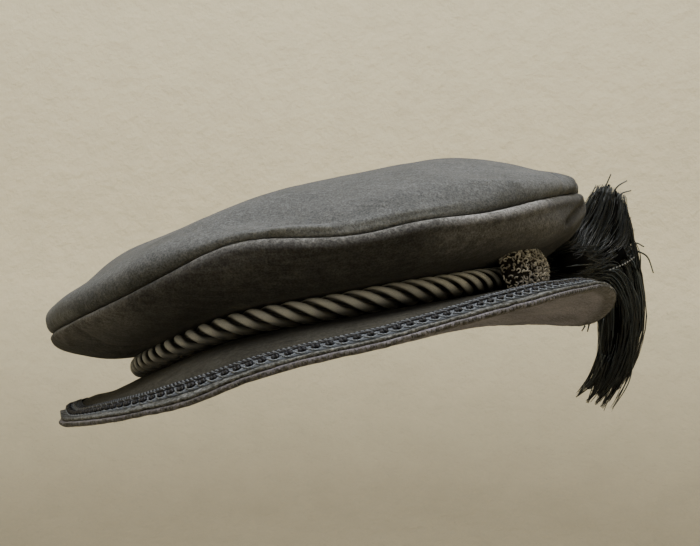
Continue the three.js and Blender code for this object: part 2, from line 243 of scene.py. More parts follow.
def smooth_loop(stations, count):
    """Evenly spaced points on a smooth closed curve through the stations, and its length."""
    total = len(stations)
    place = np.arange(total * LOOP_FINENESS) / LOOP_FINENESS
    i = place.astype(int)
    around = (stations[(i + shift) % total] for shift in (-1, 0, 1, 2))
    dense = curve_between(*around, (place - i)[:, None])
    closed = np.vstack([dense, dense[:1]])
    run = run_along(closed)
    wanted = np.arange(count) * run[-1] / count
    return np.stack([np.interp(wanted, run, closed[:, axis]) for axis in range(3)], axis=1), run[-1]


def smooth_route(stops, count):
    """Points on a smooth open curve through the stops."""
    stops = np.asarray(stops, float)
    ends = np.vstack([2 * stops[0] - stops[1], stops, 2 * stops[-1] - stops[-2]])
    place = np.linspace(0, len(stops) - 1 - 1e-6, count)
    i = place.astype(int)
    return curve_between(*(ends[i + shift] for shift in range(4)), (place - i)[:, None])


def ring_sections(node, count, ring):
    """The points of a ring-shaped CAD node in the level hat, gathered by section round the hat."""
    flat = in_hat(points_of(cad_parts[node]))
    index = station_of(flat, ring, count)
    return [np.unique(np.round(flat[index == i], 7), axis=0) for i in range(count)]


class Bundle:
    """Many small swept shapes gathered into one mesh, with a UV map and a tone along each shape.
    U runs along a shape in metres, and V round it from 0 to 1, with 0.25 on its upper side."""

    def __init__(self):
        self.points = []
        self.faces = []
        self.uvs = []
        self.tones = []
        self.count = 0

    def tube(self, path, radius, up, sides, closed=False, flat=1.0, tone=0.5):
        """Sweeps a round or flat section along a path, its height facing up."""
        total = len(path)
        radius = np.broadcast_to(radius, total)
        ahead = np.roll(path, -1, 0) - np.roll(path, 1, 0) if closed else np.gradient(path, axis=0)
        across = unit(np.cross(unit(ahead), up))
        over = np.cross(across, unit(ahead))
        angle = TURN * np.arange(sides) / sides
        spoke = (
            np.cos(angle)[None, :, None] * across[:, None, :]
            + flat * np.sin(angle)[None, :, None] * over[:, None, :]
        )
        points = path[:, None, :] + radius[:, None, None] * spoke
        run = run_along(path)
        if closed:
            run = np.append(run, run[-1] + np.linalg.norm(path[0] - path[-1]))
        rows = total if closed else total - 1
        index = np.arange(total * sides).reshape(total, sides)
        here = index[:rows]
        after = np.roll(index, -1, 0)[:rows]
        faces = np.stack([here, after, np.roll(after, -1, 1), np.roll(here, -1, 1)], -1).reshape(-1, 4)
        u = np.stack([run[:rows], run[1:rows + 1], run[1:rows + 1], run[:rows]], -1)
        v = np.arange(sides)[:, None] + np.array([0, 0, 1, 1])
        uv = np.stack(np.broadcast_arrays(u[:, None, :], v[None, :, :] / sides), -1).reshape(-1, 4, 2)
        self.faces.extend((faces + self.count).tolist())
        self.uvs.append(uv.reshape(-1, 2))
        if not closed:
            for end in (index[0], index[-1][::-1]):
                self.faces.append((end + self.count).tolist())
            self.uvs.append(np.zeros((2 * sides, 2)))
        self.points.append(points.reshape(-1, 3))
        self.tones.append(np.repeat(np.broadcast_to(tone, total), sides))
        self.count += total * sides

    def copies(self, model, places, tones):
        """Copies of a modelled shape, each at its own 3 by 4 placement and in its own tone."""
        points = np.vstack(model.points)
        uv = np.vstack(model.uvs)
        for place, tone in zip(places, tones):
            self.points.append(points @ place[:, :3].T + place[:, 3])
            self.faces.extend([[corner + self.count for corner in face] for face in model.faces])
            self.uvs.append(uv)
            self.tones.append(np.full(len(points), tone))
            self.count += len(points)

    def piece(self, name):
        mesh = bpy.data.meshes.new(name)
        mesh.from_pydata(np.vstack(self.points).tolist(), [], self.faces)
        layer = mesh.uv_layers.new(name="UVMap")
        layer.data.foreach_set("uv", np.vstack(self.uvs).astype(np.float32).ravel())
        piece = new_object(name, mesh)
        set_mask(piece, "tone", np.concatenate(self.tones))
        only(piece)
        bpy.ops.object.shade_smooth()
        return piece


# -------- materials

def new_group(name, inputs, outputs):
    """An empty shader node group with its inner sockets; each kind of socket comes with its names."""
    group = bpy.data.node_groups.new(name, "ShaderNodeTree")
    for way, sockets in (("INPUT", inputs), ("OUTPUT", outputs)):
        for kind, labels in sockets.items():
            for label in labels.split():
                group.interface.new_socket(label, in_out=way, socket_type="NodeSocket" + kind)
    return group, group.nodes.new("NodeGroupInput").outputs, group.nodes.new("NodeGroupOutput").inputs


def feed(tree, sockets, **links):
    """Fills sockets, by name or as i0 by place, with values or with other nodes' sockets."""
    for key, value in links.items():
        by_place = key[0] == "i" and key[1:].isdigit()
        socket = sockets[int(key[1:]) if by_place else key.replace("_", " ")]
        if isinstance(value, bpy.types.NodeSocket):
            tree.links.new(value, socket)
        else:
            socket.default_value = value


def add(tree, kind, settings=None, **links):
    """Adds a shader node with its settings, and feeds its inputs."""
    node = tree.nodes.new("ShaderNode" + kind)
    for key, value in (settings or {}).items():
        setattr(node, key, value)
    feed(tree, node.inputs, **links)
    return node


def calculate(tree, operation, *values):
    links = {f"i{place}": value for place, value in enumerate(values)}
    return add(tree, "Math", {"operation": operation}, **links).outputs[0]


def times(tree, first, second):
    return calculate(tree, "MULTIPLY", first, second)


def weigh(tree, *parts):
    """The sum of pairs of a value and its weight."""
    *others, total = (times(tree, value, weight) for value, weight in parts)
    for part in reversed(others):
        total = calculate(tree, "ADD", part, total)
    return total


def noise(tree, place, scale, detail, roughness=0.6, distortion=0.0):
    return add(
        tree, "TexNoise", Vector=place, Scale=scale, Detail=detail, Roughness=roughness,
        Distortion=distortion).outputs["Fac"]


def blend_colours(tree, share, first, second, how="MIX"):
    settings = {"data_type": "RGBA", "blend_type": how}
    return add(tree, "Mix", settings, i0=share, i6=first, i7=second).outputs[2]


def remap(tree, value, low, high, to_low=0.0, to_high=1.0):
    return add(
        tree, "MapRange", {"clamp": True}, Value=value, From_Min=low, From_Max=high,
        To_Min=to_low, To_Max=to_high).outputs[0]


def grey(tree, value):
    return add(tree, "CombineColor", Red=value, Green=value, Blue=value).outputs[0]


def darken(tree, colour, value):
    """A colour darkened by values under 1, and lightened by those over it."""
    return blend_colours(tree, 1.0, colour, grey(tree, value), "MULTIPLY")


# Noise scales of the suede's fine grain, of the lint on it and of the flecks in its edge tone
GRAIN_SCALE = 1100.0
LINT_SCALE = 396.0
FLECK_SCALE = 620.0
# The nap's strokes are drawn out sideways
BRUSHING = (0.22, 1.0, 1.3)


def make_suede_group():
    """Napped suede: cloudy patches, brushed strokes and a fine grain, with an edge tone and with painted
    light and shade.
    """
    inputs = {"Vector": "Place", "Color": "Dark Light Worn", "Float": "Wear Shade Patches Fray"}
    tree, given, result = new_group("suede_nap", inputs, {"Color": "Color", "Float": "Height Rough"})
    place = given["Place"]
    patches = given["Patches"]
    cloud = noise(tree, place, patches, 3.0, 0.6, 0.4)
    marks = noise(tree, place, times(tree, patches, 7.0), 4.0, 0.62, 0.8)
    brushed = add(tree, "VectorMath", {"operation": "MULTIPLY"}, i0=place, i1=BRUSHING)
    strokes = noise(tree, brushed.outputs[0], times(tree, patches, 14.0), 3.0, 0.6, 0.3)
    grain = noise(tree, place, GRAIN_SCALE, 2.0, 0.7)
    lint = noise(tree, place, LINT_SCALE, 3.0, 0.6)
    mixed = weigh(tree, (cloud, 0.36), (marks, 0.3), (strokes, 0.34))
    base = blend_colours(tree, remap(tree, mixed, 0.4, 0.6), given["Dark"], given["Light"])
    whole = calculate(tree, "SUBTRACT", 1.0, given["Fray"])
    # The edge tone, partly wear and partly painted light, broken up by the lint where Fray is high
    wear_and_lighting_share = times(tree, given["Wear"], remap(tree, lint, 0.38, 0.58, whole, 1.0))
    fleck = remap(tree, noise(tree, place, FLECK_SCALE, 2.0, 0.7), 0.36, 0.64, 0.4, 1.5)
    worn = blend_colours(tree, wear_and_lighting_share, base, darken(tree, given["Worn"], fleck))
    # Painted light and shade: the Shade value darkens the colour down to 0.04 times or lightens it up to
    # 2.4 times
    shaded = darken(tree, worn, remap(tree, given["Shade"], -1.2, 1.7, 0.04, 2.4))
    speck = times(tree, remap(tree, grain, 0.32, 0.68, 0.6, 1.4), remap(tree, lint, 0.3, 0.7, 0.84, 1.16))
    colour = darken(tree, shaded, speck)
    height = weigh(tree, (grain, 0.5), (lint, 0.8), (strokes, 0.5))
    feed(tree, result, Color=colour, Height=height, Rough=remap(tree, marks, 0.3, 0.7, 0.86, 0.97))
    return tree


def make_ply_group():
    """Twisted or wound thread: slanted ridges that run round a swept shape, from its UV map,
    and painted shade on the side where it turns in towards its neighbours."""
    inputs = {"Vector": "UV", "Color": "Groove Thread Bright", "Float": "Plies Twist Tone Sunk"}
    tree, given, result = new_group("thread_plies", inputs, {"Color": "Color", "Float": "Height"})
    along, around = add(tree, "SeparateXYZ", Vector=given["UV"]).outputs[:2]
    turned = weigh(tree, (along, given["Twist"]), (around, given["Plies"]))
    ridge = calculate(tree, "ABSOLUTE", calculate(tree, "SINE", times(tree, turned, math.pi)))
    height = calculate(tree, "POWER", ridge, 0.6)
    # The tone leans the thread towards its bright colour; on the cord and the plume this is painted light
    # and glints
    toned = blend_colours(tree, given["Tone"], given["Thread"], given["Bright"])
    wound = blend_colours(tree, remap(tree, height, 0.15, 0.75), given["Groove"], toned)
    # Painted shade where the thread turns in towards its neighbours
    top = calculate(tree, "SINE", times(tree, around, TURN))
    hidden = times(tree, given["Sunk"], remap(tree, top, 0.4, 0.8, 1.0, 0.0))
    colour = blend_colours(tree, hidden, wound, given["Groove"])
    feed(tree, result, Color=colour, Height=height)
    return tree


def new_material(name, **values):
    material = bpy.data.materials.new(name)
    material.use_nodes = True
    inputs = material.node_tree.nodes["Principled BSDF"].inputs
    feed(material.node_tree, inputs, **values)
    return material, material.node_tree, inputs


SUEDE = make_suede_group()
PLIES = make_ply_group()


def attribute(tree, name):
    return add(tree, "Attribute", {"attribute_name": name}).outputs["Fac"]


def suede(name, dark, light, worn, sheen, bump, patches, fray):
    """A suede material on the object's own coordinates, worn and shaded where the mesh says so."""
    material, tree, shader = new_material(
        name, Sheen_Weight=sheen, Sheen_Roughness=0.5, Sheen_Tint=(0.8, 0.82, 0.86, 1),
        Specular_IOR_Level=0.12)
    place = add(tree, "TexCoord").outputs["Object"]
    nap = add(
        tree, "Group", {"node_tree": SUEDE}, Place=place, Patches=patches, Fray=fray,
        Wear=attribute(tree, "wear"), Shade=attribute(tree, "shade"),
        Dark=(*dark, 1), Light=(*light, 1), Worn=(*worn, 1))
    lift = add(tree, "Bump", Height=nap.outputs["Height"], Strength=bump, Distance=0.6 * MM)
    feed(tree, shader, Base_Color=nap.outputs["Color"], Roughness=nap.outputs["Rough"],
         Normal=lift.outputs["Normal"])
    return material


def thread(name, groove, colour, bright, plies, twist, roughness, bump, sheen, specular=0.4, sunk=0.0):
    """A twisted thread material on the piece's UV map, toned by the shape it is on."""
    material, tree, shader = new_material(
        name, Roughness=roughness, Sheen_Weight=sheen, Sheen_Roughness=0.4, Specular_IOR_Level=specular)
    uv = add(tree, "UVMap", {"uv_map": "UVMap"}).outputs["UV"]
    ply = add(
        tree, "Group", {"node_tree": PLIES}, UV=uv, Tone=attribute(tree, "tone"), Plies=plies,
        Twist=twist, Sunk=sunk, Groove=(*groove, 1), Thread=(*colour, 1), Bright=(*bright, 1))
    lift = add(tree, "Bump", Height=ply.outputs["Height"], Strength=bump, Distance=0.2 * MM)
    feed(tree, shader, Base_Color=ply.outputs["Color"], Normal=lift.outputs["Normal"])
    return material


# Suedes: the colours of the nap where it is dark and light and of its edge tone, which is partly wear and
# partly painted light, the strength of its sheen and of its bumps, the scale of its patches, and how
# broken its edge tone is
SUEDES = table(
    "name dark light worn sheen bump patches fray",
    ("top_suede", (0.08, 0.0845, 0.0885), (0.11, 0.1145, 0.119), (0.1, 0.102, 0.1), 0.08, 0.5, 24, 0.7),
    # The side suede is the top's suede darkened: painted shade where the side panel turns under; its edge
    # tone is painted light on the lip, partly wear
    ("side_suede", (0.029, 0.0285, 0.0295), (0.059, 0.0585, 0.059), (0.138, 0.139, 0.138),
     0.08, 0.5, 24, 0.3),
    # The brim suede is the top's suede darkened: painted shade under the crown's overhang; its edge tone
    # is the lit rim in painted light, partly wear
    ("brim_suede", (0.034, 0.033, 0.028), (0.06, 0.058, 0.05), (0.14, 0.146, 0.148), 0.02, 0.9, 24, 0.7),
    # Under the brim the edge tone is darker than the nap, and leaves a lighter ridge as painted light
    ("under_suede", (0.156, 0.148, 0.172), (0.218, 0.207, 0.24), (0.045, 0.042, 0.036),
     0.12, 0.6, 16, 0.7),
    ("rosette_ground", (0.01, 0.008, 0.006), (0.022, 0.018, 0.014), (0.03, 0.025, 0.02),
     0.1, 0.8, 24, 0.7),
)
# Threads: the colours of the grooves, of the thread and of its bright parts, painted light and glints on
# the cord and the plume, how many plies it has and how fast they turn along it, its roughness, bumps and
# sheen, its specular level, and how much painted shade it takes where it turns in
THREADS = table(
    "name groove colour bright plies twist roughness bump sheen specular sunk",
    ("edge_thread", (0.01, 0.009, 0.006), (0.035, 0.032, 0.022), (0.1, 0.095, 0.075),
     2, 900, 0.7, 0.6, 0.2),
    ("tape_weave", (0.012, 0.014, 0.018), (0.03, 0.035, 0.045), (0.15, 0.174, 0.215),
     40, 500, 0.8, 0.9, 0.1),
    ("navy_gimp", (0.001, 0.001, 0.002), (0.004, 0.0045, 0.008), (0.014, 0.016, 0.028),
     5, 700, 0.4, 0.9, 0.03),
    ("pale_yarn", (0.03, 0.034, 0.042), (0.09, 0.102, 0.124), (0.26, 0.29, 0.335),
     3, 700, 0.7, 0.8, 0.2),
    ("black_yarn", (0.001, 0.001, 0.002), (0.004, 0.004, 0.006), (0.016, 0.016, 0.02),
     3, 700, 0.5, 0.8, 0.0),
    ("cord_satin", (0.004, 0.0038, 0.0032), (0.02, 0.021, 0.0225), (0.95, 0.97, 1.0),
     40, 170, 0.38, 0.35, 0.1, 0.5, 1.0),
    ("tan_gimp", (0.055, 0.047, 0.035), (0.33, 0.305, 0.285), (0.95, 0.91, 0.87),
     3, 1100, 0.5, 0.6, 0.3),
    ("plume_silk", (0.002, 0.0025, 0.0025), (0.008, 0.0105, 0.0115), (0.09, 0.11, 0.12),
     2, 60, 0.34, 0.3, 0.0, 0.5),
    ("stitch_thread", (0.03, 0.03, 0.03), (0.2, 0.2, 0.19), (0.4, 0.4, 0.38), 2, 900, 0.6, 0.5, 0.2),
)
looks = {row["name"]: suede(**row) for row in SUEDES} | {row["name"]: thread(**row) for row in THREADS}


# -------- crown

# Soft folds round the crown: azimuth and its half-width in degrees, height over the brim and its
# half-height in mm, how many mm the height climbs per degree, and how far the cloth stands out in mm
CROWN_FOLDS = table(
    "at wide height tall climb push",
    (66, 5, 30, 9, 1.6, 0.8),
    (150, 12, 58, 4, -0.2, 1.2),
    (-125, 14, 52, 4, 0.2, 1.2),
    (-160, 12, 28, 4, 0.2, -1.2),
    (120, 10, 30, 5, -0.3, 1.2),
)
# Creases of each panel: half-width, how far the cloth stands out or, with a way given, is moved,
# and the route, all in mm
TOP_CREASES = table(
    "wide push route",
    (1.9, 0.9, [(-25, -152, 79), (-12, -152.5, 81.5), (1, -151, 79.5)]),
    (2.4, -1.0, [(-28, -149, 83), (-12, -151, 85.5), (-1, -150.5, 84)]),
    (1.8, -1.2, [(-30, -151, 74), (-24, -151, 75.5)]),
    (2.2, 1.3, [(66, -114, 95.5), (80, -107, 96), (90, -103, 95)]),
    (5.5, -1.8, [(64, -127, 88), (86, -111, 89), (104, -91, 90)]),
    (2.4, -3.4, [(118, -73, 88), (119, -61, 94), (116, -48, 99)]),
    (4.0, 1.8, [(127, -58, 87), (127, -46, 91)]),
    (5.0, -0.6, [(-128, -84, 28), (-112, -92, 42)]),
    (4.0, 0.7, [(20, -148, 84), (34, -140, 88)]),
)
SIDE_CREASES = table(
    "wide push route way",
    (2.4, -2.6, [(135, -40, 80), (128, -57, 77), (121, -70, 73)]),
    (3.5, 1.0, [(138, -28, 76), (134, -42, 72), (127, -57, 68)]),
    (3.5, 1.1, [(134, -38, 84), (132, -40, 84)]),
    (1.7, 1.9, [(-131, -62, 3.5), (-116, -72, 5), (-103, -72, 6)]),
    (1.9, -1.8, [(-128, -72, 7), (-114, -83, 10), (-98, -87, 12)]),
    (1.9, 1.2, [(-130, -94, 25), (-136, -80, 17), (-138, -62, 8)]),
    (2.1, -1.2, [(-124, -101, 26), (-122, -92, 18), (-116, -86, 12)]),
    (9, 3.5, [(112, -44, 53), (127, -16, 54), (131, 4, 58)], (0, 0, 1)),
)
# Painted light and shade on each panel: half-width in mm, by how much, and the route in mm
TOP_SHADES = table(
    "wide by route",
    (12, -0.25, [(-128, -70, 36), (-104, -98, 54), (-80, -112, 68)]),
    (7, -0.5, [(-121, -107, 35), (-102, -124, 45), (-81, -137, 54), (-57, -146, 67), (-42, -151, 73)]),
    (1.9, 0.5, [(-22, -152, 79), (-12, -152.5, 81.5), (1, -151, 79)]),
    (1.4, -0.6, [(-30, -151, 73.5), (-22, -151, 75)]),
    (1.8, -0.5, [(119, -73, 88), (120, -61, 93), (117, -50, 97)]),
    (6, -0.5, [(66, -132, 82), (82, -122, 85), (102, -102, 88)]),
    (2.5, 0.3, [(72, -111, 96), (82, -107, 96)]),
    (7, -0.45, [(128, -60, 87), (129, -46, 91)]),
    (26, 0.15, [(50, -110, 98), (100, -70, 102)]),
)
SIDE_SHADES = table(
    "wide by route",
    (18, -0.55, [(-90, -112, 16), (-40, -128, 30), (20, -132, 44), (70, -112, 50)]),
    (16, 1.25, [(-140, -76, 14), (-124, -98, 24), (-104, -116, 32)]),
    (8, 1.6, [(60, -133, 79), (80, -120, 80), (103, -98, 80)]),
    (12, 1.6, [(58, -131, 70), (92, -106, 69), (110, -86, 69)]),
    (2.5, -0.5, [(132, -46, 78), (122, -69, 73)]),
)
# How the front of each panel stands beside the seam: the top panel slopes straight down to it, and
# the side panel swells out under it. Height over the seam, half-height and push, in mm
TOP_BANDS = [(10, 6.0, -4.5), (3, 2.5, -1.4)]
SIDE_BANDS = [(-4, 2.5, 1.3)]
# Azimuths in degrees between which the bands and the light beside the seam come in and go out
TOP_SPAN = (-28, -8, 24, 42)
SIDE_SPAN = (-32, 2, 62, 88)
PUCKER_LENGTH = 11 * MM
PUCKER_REACH = 8 * MM
PUCKER_DEPTH = 0.5 * MM
LIP_REACH = 2.2 * MM
# The cloth is pushed away from a middle point of the crown, as if it were an ellipsoid
CROWN_MIDDLE = np.array([0, 0, 38 * MM])
CROWN_HALF = np.array([*SEAM_RING, 45 * MM])
# The seam's own marks lie only this far out, as a share of its ring
SEAM_FROM = 0.9
# The height from which the cloth hangs loose, and wholly so after as much again
LOOSE_FROM = 20 * MM


def fold_crown(piece, seam, creases, bands, span, shades, lip, lit, reach, seam_lit):
    """Presses the crown's folds, the puckers of its seam and a soft unevenness into a panel, and marks the
    edge tone of its lip, the painted light beside the seam, which reaches so many mm from it, and the
    panel's painted light and shade."""
    points = points_of(piece)
    flat = in_hat(points)
    azimuth = azimuth_of(flat, SEAM_RING)
    outward = in_world(unit((flat - CROWN_MIDDLE) / CROWN_HALF**2))
    push = np.zeros(len(points))
    for fold in CROWN_FOLDS:
        aside = (np.degrees(azimuth) - fold["at"] + 180) % 360 - 180
        height = fold["height"] * MM + fold["climb"] * aside * MM
        near = (aside / fold["wide"]) ** 2 + ((flat[:, 2] - height) / (fold["tall"] * MM)) ** 2
        push += fold["push"] * MM * np.exp(-near)
    over = flat[:, 2] - np.interp(azimuth, *seam, period=TURN)
    away = np.abs(over)
    edge = reach_of(flat, SEAM_RING) > SEAM_FROM
    left, left_full, right_full, right = np.radians(span)
    front = smooth_step(azimuth, left, left_full) * (1 - smooth_step(azimuth, right_full, right))
    for height, tall, by in bands:
        push += front * by * MM * bell(over - height * MM, tall * MM)
    near_seam = bell(away, PUCKER_REACH) * edge
    run = azimuth * SEAM_RING[0]
    pucker = np.sin(TURN * run / PUCKER_LENGTH + 2.2 * smooth_noise(flat, 60 * MM, 5))
    push += PUCKER_DEPTH * near_seam * pucker * (0.5 + 0.5 * smooth_noise(flat, 45 * MM, 6))
    loose = np.clip((flat[:, 2] - LOOSE_FROM) / LOOSE_FROM, 0, 1)
    push += loose * (0.5 * MM * smooth_noise(flat, 55 * MM, 7) + 0.2 * MM * smooth_noise(flat, 20 * MM, 8))
    moved = outward * push[:, None]
    for crease in creases:
        way = np.array(crease["way"], float) if "way" in crease else outward
        near = nearness(points, crease["route"], crease["wide"])
        moved += crease["push"] * MM * near[:, None] * way
    # A soft random tone, then painted light beside the seam at the front
    shade = 0.08 * smooth_noise(flat, 70 * MM, 9)
    shade += front * edge * (lit * bell(away, reach * MM) + seam_lit * bell(away, LIP_REACH))
    set_points(piece, points + moved)
    # The lip takes the edge tone, partly wear and partly painted light, most at the front where the light
    # falls
    set_mask(piece, "wear", lip * (0.3 + 0.7 * front) * bell(away, LIP_REACH) * edge)
    set_mask(piece, "shade", add_spots(shade, points, shades))


def seam_line(piece):
    """Height of the crown's seam round the hat, from the lowest edge of its top panel."""
    flat = in_hat(points_of(piece))
    index = station_of(flat, SEAM_RING, SEAM_STATIONS)
    heights = [flat[index == i, 2].min() for i in range(SEAM_STATIONS)]
    return np.arange(SEAM_STATIONS) * TURN / SEAM_STATIONS, np.array(heights)


def make_crown():
    top = soft_copy("crown_top", "crown_top_panel", 3)
    side = soft_copy("crown_side", "crown_side_panel", 3)
    seam = seam_line(top)
    fold_crown(
        top, seam, TOP_CREASES, TOP_BANDS, TOP_SPAN, TOP_SHADES, lip=0.0, lit=0.4, reach=8, seam_lit=0.5)
    fold_crown(
        side, seam, SIDE_CREASES, SIDE_BANDS, SIDE_SPAN, SIDE_SHADES, lip=0.75, lit=0.1, reach=4,
        seam_lit=0.25)
    finish_piece(top, "top_suede", "crown_suede", "crown_top")
    finish_piece(side, "side_suede", "side_suede", "crown_side")


# -------- brim

EDGE_STITCH_PITCH = 2.3 * MM
EDGE_STITCH_RADIUS = 0.28 * MM
# The stops of one stitch: how far out and up from the rim, in mm, and how much of its lean it takes
EDGE_STITCH = ((-0.9, 0.75, -1), (0.12, 0.25, 0), (-0.1, -0.6, 1), (-1.2, -1.25, 1))
# Painted light and shade on the two layers of the brim, as for the crown: the first is the painted shadow
# of the crown and cord on the strip inside the braid, and those under the brim follow its soft folds
BRIM_SHADES = table(
    "wide by route",
    (11, -1.1, [(12, -126, 37), (33, -128, 39), (50, -122, 42), (84, -106, 48)]),
    (9, 0.2, [(-100, -118, -6), (-70, -134, 6), (-49, -149, 18)]),
)
UNDER_SHADES = table(
    "wide by route",
    (5, 0.3, [(131, 40, 4), (143, 8, 13), (147, -20, 22), (146, -50, 31)]),
    (3.5, -0.4, [(116, 118, -16), (136, 70, -4), (147, 26, 7)]),
)
# Where the brim's upper layer is thicker, at its left tip: half-width, by how much, and the route, in mm
BRIM_PUFFS = table(
    "wide by route",
    (13, 3.2, [(-150, -66, -31), (-141, -46, -31), (-141, -24, -32)]),
)


def brim_share(flat):
    """How far out on the brim each point of the level hat lies, 1 at its rim."""
    return reach_of(flat - np.array([0, BRIM_SHIFT, 0]), BRIM_RING)


def rim_of(flat):
    """The outermost point of a brim layer at each station, and the station of every point."""
    index = station_of(flat, BRIM_RING, RIM_STATIONS)
    share = brim_share(flat)
    return np.array([flat[index == i][share[index == i].argmax()] for i in range(RIM_STATIONS)]), index


# How fast the brim's long wrinkles follow one another outwards, and how unevenly
WRINKLE_RATE = 52
WRINKLE_SWAY = 1.6
# The cord's shade on the brim, as shares of the cord's ring
CORD_SHADE_MIDDLE = 1.03
CORD_SHADE_WIDE = 0.07


def wrinkle_brim(piece, waves, edge_wear_and_lighting, ridge_wear_and_lighting, shades, puffs=(), cord_shadow=0.0):
    """Gives a brim layer long soft wrinkles, marks its edge and the ridge on it with the edge tone, partly
    wear and partly painted light, and paints its light, shade and the cord's shadow.
    """
    points = points_of(piece)
    flat = in_hat(points)
    share = brim_share(flat)
    azimuth = np.arctan2(flat[:, 0], -flat[:, 1])
    long_waves = np.sin(share * WRINKLE_RATE + WRINKLE_SWAY * smooth_noise(flat, 90 * MM, 11))
    soft = np.clip((share - 0.62) * 6, 0, 1) * np.clip((0.97 - share) * 14, 0, 1)
    lift = waves * MM * long_waves * soft * (0.35 + 0.65 * np.sin(azimuth) ** 2)
    lift += 0.25 * MM * smooth_noise(flat, 40 * MM, 12)
    lift += 0.12 * MM * smooth_noise(flat, 9 * MM, 13) * smooth_step(share, 0.93, 0.98)
    upper = smooth_step(normals_of(piece) @ HAT_UP, -0.6, 0.8)
    for puff in puffs:
        lift += puff["by"] * MM * nearness(points, puff["route"], puff["wide"]) * upper
    set_points(piece, points + lift[:, None] * HAT_UP)
    # The edge tone: on the upper layer the lit rim out of the crown's painted shade, partly worn; on the
    # lower layer a darker band below a ridge left lighter where it faces up, which is painted light
    edge = smooth_step(share, 0.955, 0.985)
    rim, index = rim_of(flat)
    ridge = smooth_step(flat[:, 2] - rim[index, 2], 0.3 * MM, 0.9 * MM)
    set_mask(piece, "wear", edge * (edge_wear_and_lighting + (ridge_wear_and_lighting - edge_wear_and_lighting) * ridge))
    shade = add_spots(0.12 * smooth_noise(flat, 50 * MM, 14), points, shades)
    from_cord = reach_of(flat, CORD_RING) - CORD_SHADE_MIDDLE
    set_mask(piece, "shade", shade - cord_shadow * bell(from_cord, CORD_SHADE_WIDE))


def make_edge_stitches(under):
    """Small upright stitches of brown thread over the edge of the brim's lower layer."""
    rim, _ = rim_of(in_hat(points_of(under)))
    _, length = smooth_loop(rim, RIM_STATIONS)
    line, _ = smooth_loop(rim, int(length / EDGE_STITCH_PITCH))
    ahead = unit(np.roll(line, -1, 0) - np.roll(line, 1, 0))
    outward = unit(np.cross(ahead, [0, 0, 1]))
    outward *= np.sign((outward * line).sum(1, keepdims=True))
    upward = unit(np.cross(outward, ahead))
    upward *= np.sign(upward[:, 2:])
    bundle = Bundle()
    for place, out, up, along in zip(line, outward, upward, ahead):
        lean = along * rng.normal(0, 0.25)
        stops = [place + MM * (a * out + b * up + c * lean) for a, b, c in EDGE_STITCH]
        path = in_world(smooth_route(stops, 6))
        bundle.tube(path, EDGE_STITCH_RADIUS, in_world(out), sides=4, tone=rng.uniform(0, 1) ** 2)
    finish_piece(bundle.piece("brim_edge_stitches"), "edge_thread", "under_suede")


def make_brim():
    top = soft_copy("brim_top", "brim_upper", 3)
    under = soft_copy("brim_under", "brim_lower", 3)
    wrinkle_brim(
        top, waves=0.25, edge_wear_and_lighting=0.95, ridge_wear_and_lighting=0.95, shades=BRIM_SHADES, puffs=BRIM_PUFFS,
        cord_shadow=1.1)
    wrinkle_brim(under, waves=0.9, edge_wear_and_lighting=0.95, ridge_wear_and_lighting=0.55, shades=UNDER_SHADES)
    finish_piece(top, "brim_suede", "brim_suede", "brim_top")
    finish_piece(under, "under_suede", "under_suede", "brim_under")
    make_edge_stitches(under)
    return top


# -------- braid

BRAID_SAMPLES = 1400
TAPE_SAMPLES = 900
# Pitches of the knots and picots, and how far out from the braid's middle line and how far over the
# brim the tape and the knots lie, all in mm
BRAID_PITCH = 5.97
PICOT_PITCH = 2.4
TAPE_OUT, TAPE_OVER = -0.5, 0.2
TAPE_HALF_WIDTH = 4.9
KNOT_OUT, KNOT_OVER = 1.6, 0.55
# Yarns that wave along the braid: pitch, how far out they lie and swing, how far over the brim they
# lie and bob, and radius, all in mm, with the steps in a wave and its start as a share of it
YARN_COLUMNS = "pitch steps out swing over bob start radius sides tone"
PALE_YARNS = table(
    YARN_COLUMNS,
    (2 * BRAID_PITCH, 14, KNOT_OUT, 2.1, 0.7, 0.25, 0.25, 0.42, 5, 0.55),
    (2 * BRAID_PITCH, 14, KNOT_OUT, 2.1, 0.7, 0.25, 0.75, 0.42, 5, 0.55),
    (PICOT_PITCH, 5, -5.1, 0.65, 0.45, 0.2, 0.0, 0.28, 4, 0.75),
    (PICOT_PITCH, 5, -3.8, 0.65, 0.45, 0.2, 0.5, 0.28, 4, 0.75),
    (BRAID_PITCH / 2, 3, -1.0, 0.15, 0.45, 0.1, 0.0, 0.3, 4, 0.65),
    (BRAID_PITCH / 2, 3, -2.9, 0.15, 0.45, 0.1, 0.0, 0.3, 4, 0.65),
    (BRAID_PITCH, 8, -2.0, 0.75, 0.95, 0.75, 0.0, 0.2, 4, 0.6),
)
DARK_YARNS = table(
    YARN_COLUMNS,
    (PICOT_PITCH, 5, -5.1, 0.75, 0.4, 0.25, 0.5, 0.36, 4, 0.1),
    (PICOT_PITCH, 5, -3.8, 0.75, 0.4, 0.25, 0.0, 0.36, 4, 0.1),
    (BRAID_PITCH / 2, 3, -2.0, 0.0, 0.95, 0.0, 0.0, 0.65, 6, 0.1),
)


